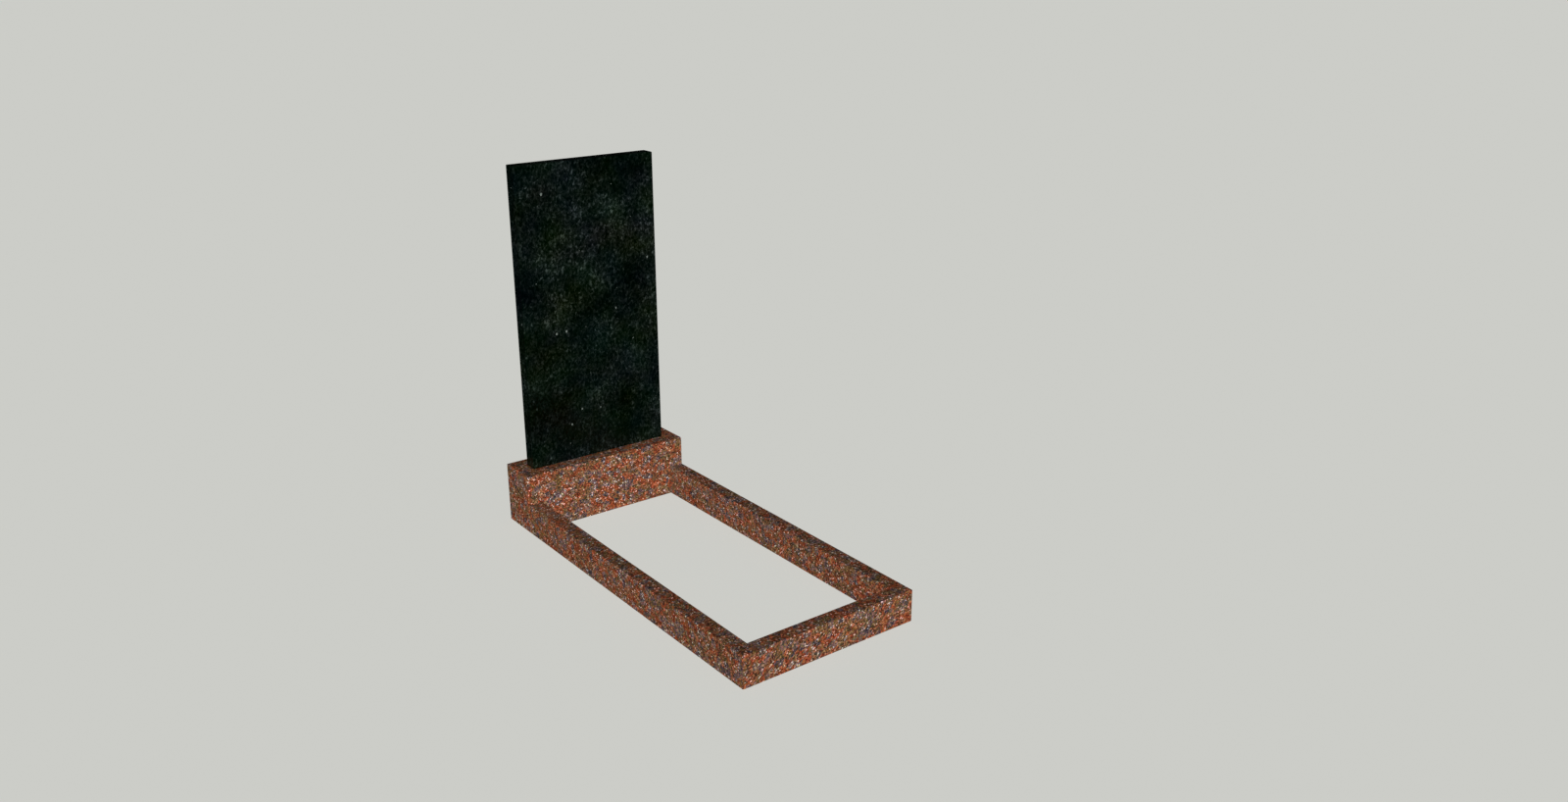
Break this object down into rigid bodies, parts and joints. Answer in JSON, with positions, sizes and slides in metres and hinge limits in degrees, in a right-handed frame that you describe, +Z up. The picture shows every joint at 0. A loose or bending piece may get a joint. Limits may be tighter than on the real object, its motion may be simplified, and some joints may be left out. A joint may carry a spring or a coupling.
{
  "type": "headstone with kerb",
  "caption": "Granite headstone set: a plain dark upright stele on a red plinth, with a low red kerb round a planting bed.",
  "frame": {"origin": "on the ground, in the middle of the whole set's footprint", "axes": "+Z up, +Y from the foot of the bed towards the stele, +X to the right of someone facing the stele"},
  "size_m": [0.6, 1.35, 1.2003],
  "materials": {
    "dark_granite": "polished",
    "red_granite": "polished"
  },
  "bodies": {
    "root": {"stele": "dark_granite", "plinth": "red_granite", "kerb_left": "red_granite", "kerb_right": "red_granite", "kerb_front": "red_granite"}
  },
  "joints": []
}
